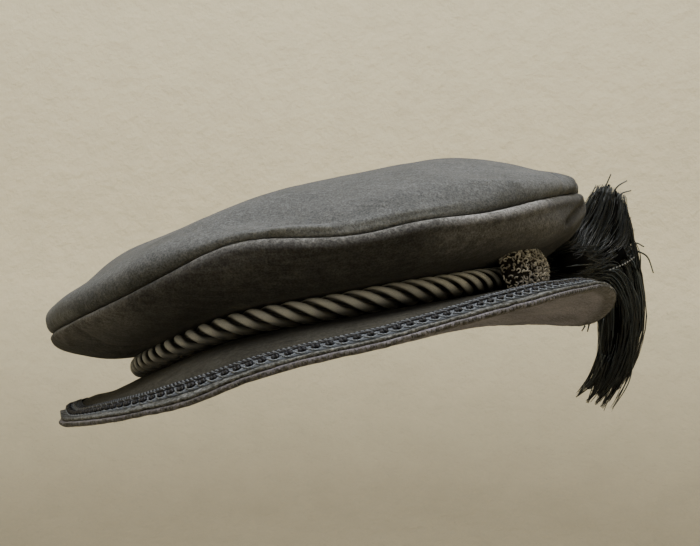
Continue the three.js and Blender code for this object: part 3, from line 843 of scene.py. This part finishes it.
def braid_line(brim):
    """The braid's middle line laid on the brim, the ways out and up at its points, and its length."""
    sections = ring_sections("brim_braid", BRAID_STATIONS, BRAID_RING)
    reach = [reach_of(s, BRAID_RING) for s in sections]
    outer = np.array([s[r > r.mean()].mean(0) for s, r in zip(sections, reach)])
    inner = np.array([s[r <= r.mean()].mean(0) for s, r in zip(sections, reach)])
    middle, length = smooth_loop((outer + inner) / 2, BRAID_SAMPLES)
    across, _ = smooth_loop(outer - inner, BRAID_SAMPLES)
    middle = in_world(middle)
    outward = unit(in_world(across))
    ahead = unit(np.roll(middle, -1, 0) - np.roll(middle, 1, 0))
    up = unit(np.cross(ahead, outward))
    if up[0] @ HAT_UP < 0:
        up = -up
    skin = BVHTree.FromPolygons(
        points_of(brim).tolist(), [tuple(face.vertices) for face in brim.data.polygons])
    for i, (point, way) in enumerate(zip(middle, up)):
        hit = skin.ray_cast(Vector(point + way * 5 * MM), Vector(-way))[0]
        if hit is not None:
            middle[i] = hit
    return middle, outward, up, length


def on_braid(line, place, out, over):
    """Points at shares of the braid's length, so many mm out and over, and the way up at each."""
    total = len(line[0])
    spot = (place % 1.0) * total
    i = spot.astype(int) % total
    f = (spot - np.floor(spot))[:, None]
    at, outward, up = (values[i] * (1 - f) + values[(i + 1) % total] * f for values in line[:3])
    out, over = (np.reshape(values, (-1, 1)) * MM for values in (out, over))
    return at + outward * out + up * over, up


def lay_yarns(line, yarns):
    """Yarns that wave from side to side along the braid, bobbing over and under as they go."""
    bundle = Bundle()
    for yarn in yarns:
        waves = int(round(line[3] / (yarn["pitch"] * MM)))
        t = np.arange(waves * yarn["steps"]) / yarn["steps"]
        angle = TURN * (t + yarn["start"])
        out = yarn["out"] + yarn["swing"] * np.sin(angle)
        over = yarn["over"] + yarn["bob"] * np.cos(angle)
        path, up = on_braid(line, t / waves, out, over)
        bundle.tube(path, yarn["radius"] * MM, up, sides=yarn["sides"], closed=True, tone=yarn["tone"])
    return bundle


def knot_model():
    """One knot of the braid: two fat lobes of yarn drawn tight side by side."""
    bundle = Bundle()
    for side in (-1, 1):
        t = np.linspace(-1, 1, 5)
        path = np.stack([
            side * 0.78 * MM + 0.3 * MM * t,
            1.0 * MM * t,
            0.75 * MM - 0.35 * MM * t**2,
        ], axis=1)
        thick = MM * np.array([0.55, 0.88, 1.0, 0.88, 0.55])
        bundle.tube(path, thick, np.array([0, 0, 1.0]), sides=7)
    return bundle


def make_tape(line):
    tape = Bundle()
    path, over = on_braid(line, np.arange(TAPE_SAMPLES) / TAPE_SAMPLES, TAPE_OUT, TAPE_OVER)
    right = smooth_step(path[:, 0], 0.04, 0.1)
    tape.tube(path, TAPE_HALF_WIDTH * MM, over, sides=12, closed=True, flat=0.1, tone=0.4 - 0.4 * right)
    finish_piece(tape.piece("braid_tape"), "tape_weave", "braid", "brim_braid")


def make_knots(line):
    """A row of knots that lean and swell unevenly, and are smaller to the right."""
    knots = Bundle()
    count = 2 * int(round(line[3] / (BRAID_PITCH * MM) / 2))
    place = np.arange(count) / count
    points, over = on_braid(line, place, KNOT_OUT, KNOT_OVER)
    further, _ = on_braid(line, place, KNOT_OUT + 1, KNOT_OVER)
    out = unit(further - points)
    along = np.cross(out, over)
    lean = rng.normal(0.15, 0.14, count)
    small = 1 - 0.15 * smooth_step(points[:, 0], 0.03, 0.12)
    size = (rng.normal(1.12, 0.06, count) * small)[:, None]
    cos, sin = np.cos(lean)[:, None], np.sin(lean)[:, None]
    ways = ((along * cos + out * sin) * size, (out * cos - along * sin) * size, over * size)
    knots.copies(knot_model(), np.stack([*ways, points], axis=2), rng.uniform(0, 0.4, count))
    finish_piece(knots.piece("braid_knots"), "navy_gimp", "braid")


def make_braid(brim):
    line = braid_line(brim)
    make_tape(line)
    make_knots(line)
    finish_piece(lay_yarns(line, PALE_YARNS).piece("braid_pale_yarns"), "pale_yarn", "braid")
    finish_piece(lay_yarns(line, DARK_YARNS).piece("braid_dark_yarns"), "black_yarn", "braid")


# -------- cord

CORD_STRANDS = 4
CORD_TURNS = 20
CORD_STEPS = 900
STRAND_RADIUS = 2.35 * MM
STRAND_OUT = 3.7 * MM


def make_cord():
    """The twisted cord: four plump satin strands round the foot of the crown, with painted light where
    they face up, brighter at the right.
    """
    sections = ring_sections("hat_cord", CORD_STATIONS, CORD_RING)
    middle, _ = smooth_loop(np.array([s.mean(0) for s in sections]), CORD_STEPS)
    outward = unit(np.stack(
        [middle[:, 0] / CORD_RING[0]**2, middle[:, 1] / CORD_RING[1]**2, np.zeros(CORD_STEPS)], axis=1))
    upward = np.array([0, 0, 1.0])
    right = smooth_step(azimuth_of(middle, CORD_RING), 0.35, 0.9)
    bundle = Bundle()
    share = np.arange(CORD_STEPS) / CORD_STEPS
    for strand in range(CORD_STRANDS):
        angle = -TURN * (CORD_TURNS * share + strand / CORD_STRANDS)
        around = np.cos(angle)[:, None] * outward + np.sin(angle)[:, None] * upward
        path = in_world(middle + STRAND_OUT * around)
        facing = in_world(around)
        # Painted light: each strand is toned lighter where it faces up, and more so at the right
        shine = rng.uniform(0.34, 0.41) * smooth_step(facing[:, 2], -0.7, 0.35)
        lit = 0.03 + shine * (1.15 + 1.3 * right)
        bundle.tube(path, STRAND_RADIUS, facing, sides=14, closed=True, tone=lit)
    finish_piece(bundle.piece("cord_strands"), "cord_satin", "cord", "hat_cord")


# -------- rosette

LOOP_COUNT = 230
LOOP_SPACING = 1.95 * MM
LOOP_RADIUS = 0.38 * MM
ROSETTE_FACE = np.array([0.35, -1, 0.25])
BORDER_PITCH = 2.3 * MM
BORDER_SWING = 0.9 * MM
BORDER_RADIUS = 0.42 * MM


def make_rosette():
    """A dark pad with short loops of tan gimp sewn all over its face, and a border of small loops."""
    pad = soft_copy("rosette", "rosette_pad", 2)
    finish_piece(pad, "rosette_ground", "rosette", "rosette")
    points = points_of(pad)
    normals = normals_of(pad)
    usable = np.flatnonzero(normals @ unit(ROSETTE_FACE) > -0.1)
    chosen = []
    for i in rng.permutation(usable):
        if all(np.linalg.norm(points[i] - points[j]) > LOOP_SPACING for j in chosen):
            chosen.append(i)
        if len(chosen) == LOOP_COUNT:
            break
    bundle = Bundle()
    t = np.linspace(0, 1, 10)
    for i in chosen:
        sweep = TURN * rng.uniform(0.5, 0.8)
        size = rng.uniform(0.85, 1.35) * MM
        angle = rng.uniform(0, TURN) + sweep * t
        out = normals[i]
        first = unit(np.cross(out, rng.normal(size=3)))
        second = np.cross(out, first)
        lift = 0.3 * MM + rng.uniform(0.5, 1.2) * MM * np.sin(math.pi * t)
        ring = size * (np.cos(angle)[:, None] * first + 0.8 * np.sin(angle)[:, None] * second)
        path = points[i] + ring + lift[:, None] * out
        bundle.tube(path, LOOP_RADIUS, out, sides=5, tone=rng.uniform(0, 1) ** 1.3)
    make_rosette_border(bundle, points, normals)
    finish_piece(bundle.piece("rosette_loops"), "tan_gimp", "rosette")


def make_rosette_border(bundle, points, normals):
    """Two waving cords down the pad's right-hand edge, that make a column of small loops."""
    front = points[normals @ np.array([0.2, -0.95, 0.15]) > 0.15]
    heights = np.linspace(points[:, 2].min() + 5 * MM, points[:, 2].max() - 1.5 * MM, 9)
    edge = []
    for height in heights:
        near = front[np.abs(front[:, 2] - height) < 1.2 * MM]
        edge.append(near[near[:, 0].argmax()])
    stops = smooth_route(edge, 60)
    way = unit(np.array([1, -0.6, 0]))
    for shift, phase in ((-1.6 * MM, 0.0), (0.2 * MM, 0.5)):
        wave = BORDER_SWING * np.sin(TURN * (run_along(stops) / BORDER_PITCH + phase))
        path = stops + way * (shift + wave)[:, None] - np.array([0, 0.9 * MM, 0])
        bundle.tube(path, BORDER_RADIUS, FORWARD, sides=5, tone=0.75)


# -------- plume

# The fan's locks: how many strands, how unevenly they end, how far they lie from the lock's middle
# at each stop, and the route of that middle, in mm
FAN_LOCKS = table(
    "count ragged spread route",
    (90, 0.05, (3, 13, 7, 6, 3.5),
     [(118, 10, 48), (136, 13, 47), (148, 22, 58), (156, 25, 73), (162, 27, 88)]),
    (110, 0.05, (3, 14, 8, 7, 3.5),
     [(118, 10, 44), (137, 14, 44), (151, 23, 54), (161, 26, 70), (167, 28, 89)]),
    (120, 0.05, (3, 14, 8, 7, 3.5),
     [(118, 10, 42), (138, 14, 43), (154, 24, 49), (168, 28, 65), (173.5, 30, 85)]),
    (115, 0.05, (3, 14, 8, 6.5, 3.5),
     [(118, 10, 40), (138, 14, 43), (158, 23, 46), (172, 28, 58), (176, 31, 77)]),
    (80, 0.08, (3, 13, 7, 6, 3.5),
     [(118, 10, 39), (138, 14, 42), (158, 23, 44), (172.5, 28, 54), (178, 31, 71)]),
    (110, 0.06, (3, 14, 7, 6, 3.5),
     [(118, 10, 38), (138, 14, 42), (158, 22, 42), (173, 27, 50), (179.5, 30, 64)]),
    (110, 0.06, (3, 13, 7, 6, 3.5),
     [(118, 10, 36), (138, 14, 41), (157, 21, 37), (171, 26, 41), (183, 29, 49)]),
)
# The lock along the fan's straight right edge, then those behind the fan, of fewer and wider strands
FAN_BACK_LOCKS = table(
    "count ragged spread route wide",
    (22, 0.08, (1.5, 1.6, 1.8, 1.6),
     [(184, 25, 36), (182.5, 26, 46), (179.5, 27, 61), (174.5, 28, 82)], 1.2),
    (34, 0.06, (5, 7, 6, 3), [(136, 21, 43), (149, 31, 51), (157, 35, 68), (164, 34, 86)], 1.7),
    (36, 0.06, (5, 7, 6, 3), [(138, 22, 42), (155, 33, 47), (166, 36, 64), (172, 35, 82)], 1.7),
    (36, 0.06, (5, 7, 6, 3), [(139, 22, 41), (159, 33, 44), (172, 36, 56), (176.5, 35, 71)], 1.7),
    (34, 0.06, (5, 7, 6, 3), [(139, 21, 39), (159, 31, 39), (173, 34, 46), (179.5, 34, 57)], 1.7),
)
# The tail's locks, and after them the five thin wisps in which it ends
TAIL_LOCKS = table(
    "count ragged spread route",
    (110, 0.08, (10, 6, 6.5, 6, 6, 3),
     [(138, 16, 39), (156, 25, 37), (165, 28, 31), (168.5, 33, -2), (167, 38, -26), (157, 42, -45)]),
    (120, 0.08, (10, 6, 7, 6.5, 6, 3),
     [(138, 18, 42), (158, 28, 44), (173, 38, 42), (178, 41, 4), (175, 43, -26), (165, 45, -48)]),
    (150, 0.08, (10, 6, 7, 6.5, 6.5, 3),
     [(138, 14, 42), (160, 24, 44), (178, 30, 42), (187, 33, 8), (184, 37, -21), (174, 40, -46)]),
    (130, 0.08, (10, 6, 6.5, 6, 6, 3),
     [(138, 12, 40), (156, 21, 40), (172, 26, 38), (180, 28, 6), (176, 32, -27), (164, 36, -49)]),
    (100, 0.1, (10, 6, 6.5, 5.5, 5.5, 3.5),
     [(138, 12, 38), (155, 21, 35), (170, 25, 33), (181, 26, 12), (182, 30, -16), (175, 36, -43)]),
    (16, 0.05, (5, 3, 0.7), [(168, 34, -18), (162, 36, -34), (151.5, 38, -46)]),
    (18, 0.05, (5, 3, 0.7), [(171, 34, -20), (166, 36, -37), (158.5, 38, -51)]),
    (20, 0.05, (5, 3, 0.8), [(175, 34, -20), (171, 36, -38), (164, 38, -52)]),
    (16, 0.05, (4, 2.5, 0.7), [(179, 34, -20), (175, 36, -38), (168, 38, -54)]),
    (9, 0.05, (2.5, 1.6, 0.6), [(185, 31, -12), (182, 33, -33), (173, 36, -55)]),
)
# Single strands that stand off the plume
STRAY_STRANDS = [
    [(158, 24, 74), (162, 24, 84), (166, 24, 94)],
    [(166, 25, 78), (170, 25, 86), (176, 25, 90)],
    [(168, 26, 76), (173, 26, 82), (179, 26, 84)],
    [(176, 26, 44), (182, 26, 52), (188, 26, 50)],
    [(182, 26, 48), (190, 26, 44), (194, 25, 34)],
    [(165, 26, 6), (163.5, 26, -10), (165, 27, -26)],
    [(158, 34, 1), (157.5, 34, -1.5), (157, 34, -4)],
    [(155.5, 34, 0), (154.5, 34, -2), (153.5, 34, -3.5)],
]
STRAY_STEPS = 12
STITCH_LINE = [(165, 16, 37), (171, 15.5, 39.5), (176, 16, 42), (180, 16, 45)]
STITCH_STEPS = 40
CORE_SINK = 1.6 * MM
CLUMPS = 5
FAN_GATHER = 0.3
TAIL_GATHER = 0.75
# Painted glints: the most a strand's tone leans to the silk's bright colour, in the fan and in the tail
FAN_SHINE = 0.5
TAIL_SHINE = 1.0
STRAND_WIDTH = 0.5 * MM
STRAND_SWAY = 0.7 * MM
STRAND_STEPS = 17


def lay_strands(bundle, lock, gathered, shine):
    """Flat strands that follow a lock, each drawn towards one of a few clumps as it nears its end."""
    route = np.array(lock["route"], float) * MM
    spread = np.array(lock["spread"]) * MM
    ahead = unit(np.gradient(route, axis=0))
    first = unit(np.cross(ahead, [0, 1, 0]))
    second = np.cross(ahead, first)
    share = np.linspace(0, 1, len(route))
    gather = gathered * smooth_step(share, 0.45, 1.0)
    clumps = rng.uniform(0, TURN, CLUMPS), rng.uniform(0.3, 1.0, CLUMPS)
    for _ in range(lock["count"]):
        angle = rng.uniform(0, TURN)
        reach = rng.uniform(0.3, 1.0) ** 0.4
        clump_angle, clump_reach = (values[rng.integers(CLUMPS)] for values in clumps)
        stops = route
        for part, way in ((math.cos, first), (math.sin, second)):
            aside = (1 - gather) * reach * part(angle) + gather * clump_reach * part(clump_angle)
            stops = stops + (spread * aside)[:, None] * way
        stops += rng.normal(0, STRAND_SWAY, stops.shape)
        keep = 1 - abs(rng.normal(0, lock["ragged"]))
        path = smooth_route(stops, STRAND_STEPS * 3)
        path = path[: max(4, int(len(path) * keep))][::3]
        taper = np.linspace(1, 0.1, len(path)) ** 0.5
        facing = unit(rng.normal(size=3) + np.array([0, -1.5, 0.5]))
        width = STRAND_WIDTH * lock.get("wide", 1) * taper * rng.uniform(0.7, 1.2)
        # A rare painted glint on each strand
        bundle.tube(path, width, facing, sides=4, flat=0.4, tone=shine * rng.uniform(0, 1) ** 3)


def make_plume():
    """The plume: a dark core in locks, painted shade for the inside of the plume, under some 1,600 flat
    silky strands, with a few strays.
    """
    core = soft_copy("plume", "plume_core", 1)
    points = points_of(core)
    set_points(core, points - CORE_SINK * normals_of(core))
    # The core's near-black is painted shade for the dark inside of the plume, faintly mottled
    looks["plume_shade"], tree, shader = new_material(
        "plume_shade", Roughness=0.9, Specular_IOR_Level=0.1)
    shade_mottle = noise(tree, add(tree, "TexCoord").outputs["Object"], 400.0, 2.0)
    feed(tree, shader, Base_Color=grey(tree, remap(tree, shade_mottle, 0.3, 0.7, 0.0005, 0.002)))
    finish_piece(core, "plume_shade", "plume", "plume")
    fan = Bundle()
    for lock in FAN_LOCKS:
        lay_strands(fan, lock, FAN_GATHER, FAN_SHINE)
    stray_width = np.linspace(0.6, 0.35, STRAY_STEPS) * MM
    for stops in STRAY_STRANDS:
        path = smooth_route(np.array(stops, float) * MM, STRAY_STEPS)
        fan.tube(path, stray_width, np.array([0, -1.0, 0.1]), sides=4, flat=0.5, tone=0.4)
    tail = Bundle()
    for lock in TAIL_LOCKS:
        lay_strands(tail, lock, TAIL_GATHER, TAIL_SHINE)
    for lock in FAN_BACK_LOCKS:
        lay_strands(fan, lock, FAN_GATHER, FAN_SHINE)
    finish_piece(fan.piece("plume_fan"), "plume_silk", "plume")
    finish_piece(tail.piece("plume_tail"), "plume_silk", "plume")
    stitches = Bundle()
    line = smooth_route(np.array(STITCH_LINE) * MM, STITCH_STEPS)
    for start in range(0, STITCH_STEPS - 2, 4):
        stitches.tube(line[start:start + 3], 0.4 * MM, FORWARD, sides=4, tone=0.6)
    finish_piece(stitches.piece("plume_stitches"), "stitch_thread", "plume")


# -------- stage, light and camera

FLOOR_HEIGHT = -0.62
FLOOR_REACH = 1.2
SWEEP_RADIUS = 0.55
WALL_TOP = 2.2
CAMERA_PLACE = (0.0098, -0.620, 0.1224)
CAMERA_PITCH = math.radians(90 - 7.8)
CAMERA_LENS = 55.16


def make_stage():
    """A plain pale floor that rises all round in one soft sweep, painted paler towards the top as painted
    light.
    """
    profile = [(0.0, 0.0), (FLOOR_REACH, 0.0)]
    for angle in math.pi / 2 * np.arange(1, 9) / 8:
        profile.append(
            (FLOOR_REACH + SWEEP_RADIUS * math.sin(angle), SWEEP_RADIUS * (1 - math.cos(angle))))
    profile.append((FLOOR_REACH + SWEEP_RADIUS, WALL_TOP))
    mesh = bpy.data.meshes.new("floor")
    edges = [(i, i + 1) for i in range(len(profile) - 1)]
    mesh.from_pydata([(x, 0, z + FLOOR_HEIGHT) for x, z in profile], edges, [])
    floor = new_object("floor", mesh)
    only(floor)
    bpy.ops.object.mode_set(mode="EDIT")
    bpy.ops.mesh.select_all(action="SELECT")
    bpy.ops.mesh.spin(steps=96, angle=TURN, center=(0, 0, 0), axis=(0, 0, 1))
    bpy.ops.mesh.remove_doubles(threshold=0.1 * MM)
    bpy.ops.mesh.normals_make_consistent(inside=True)
    bpy.ops.object.mode_set(mode="OBJECT")
    bpy.ops.object.shade_smooth()
    material, tree, shader = new_material("floor_paper", Roughness=0.95, Specular_IOR_Level=0.1)
    place = add(tree, "TexCoord").outputs["Object"]
    height = add(tree, "SeparateXYZ", Vector=place).outputs[2]
    # Painted light: the sweep is painted paler up the wall, as a wall lit from above
    climb = remap(tree, height, -0.6, -0.2)
    colour = blend_colours(tree, climb, (0.34, 0.308, 0.232, 1), (0.84, 0.775, 0.58, 1))
    mottled = darken(tree, colour, remap(tree, noise(tree, place, 14.0, 5.0), 0.3, 0.7, 0.96, 1.04))
    lift = add(tree, "Bump", Height=noise(tree, place, 32.0, 5.0), Strength=1.0, Distance=8 * MM)
    feed(tree, shader, Base_Color=mottled, Normal=lift.outputs["Normal"])
    floor.data.materials.append(material)


def add_area_light(name, place, aim, size, power, colour):
    light = bpy.data.lights.new(name, "AREA")
    light.shape = "SQUARE"
    light.size = size
    light.energy = power
    light.color = colour
    lamp = new_object(name, light)
    lamp.location = place
    lamp.rotation_mode = "QUATERNION"
    lamp.rotation_quaternion = (Vector(aim) - Vector(place)).to_track_quat("-Z", "Y")


def make_lights():
    add_area_light("overhead_softbox", (0.0, -0.3, 1.35), (0, 0, 0), 1.1, 27, (1.0, 0.985, 0.95))
    add_area_light("front_fill", (-0.9, -1.1, 0.75), (0, 0, 0), 0.9, 1.5, (1.0, 0.98, 0.94))
    add_area_light("backdrop_softbox", (0, 0.7, 1.4), (0, 1.75, 0.3), 1.0, 12, (1.0, 0.98, 0.94))
    world = bpy.data.worlds.new("room")
    world.use_nodes = True
    sky = world.node_tree.nodes["Background"]
    sky.inputs["Color"].default_value = (0.95, 0.97, 1.0, 1)
    sky.inputs["Strength"].default_value = 0.3
    bpy.context.scene.world = world


def make_camera():
    data = bpy.data.cameras.new("camera")
    data.sensor_width = 36
    data.lens = CAMERA_LENS
    camera = new_object("camera", data)
    camera.location = CAMERA_PLACE
    camera.rotation_euler = (CAMERA_PITCH, 0, 0)
    bpy.context.scene.camera = camera


make_stage()
make_lights()
make_camera()
make_crown()
make_braid(make_brim())
make_cord()
make_rosette()
make_plume()
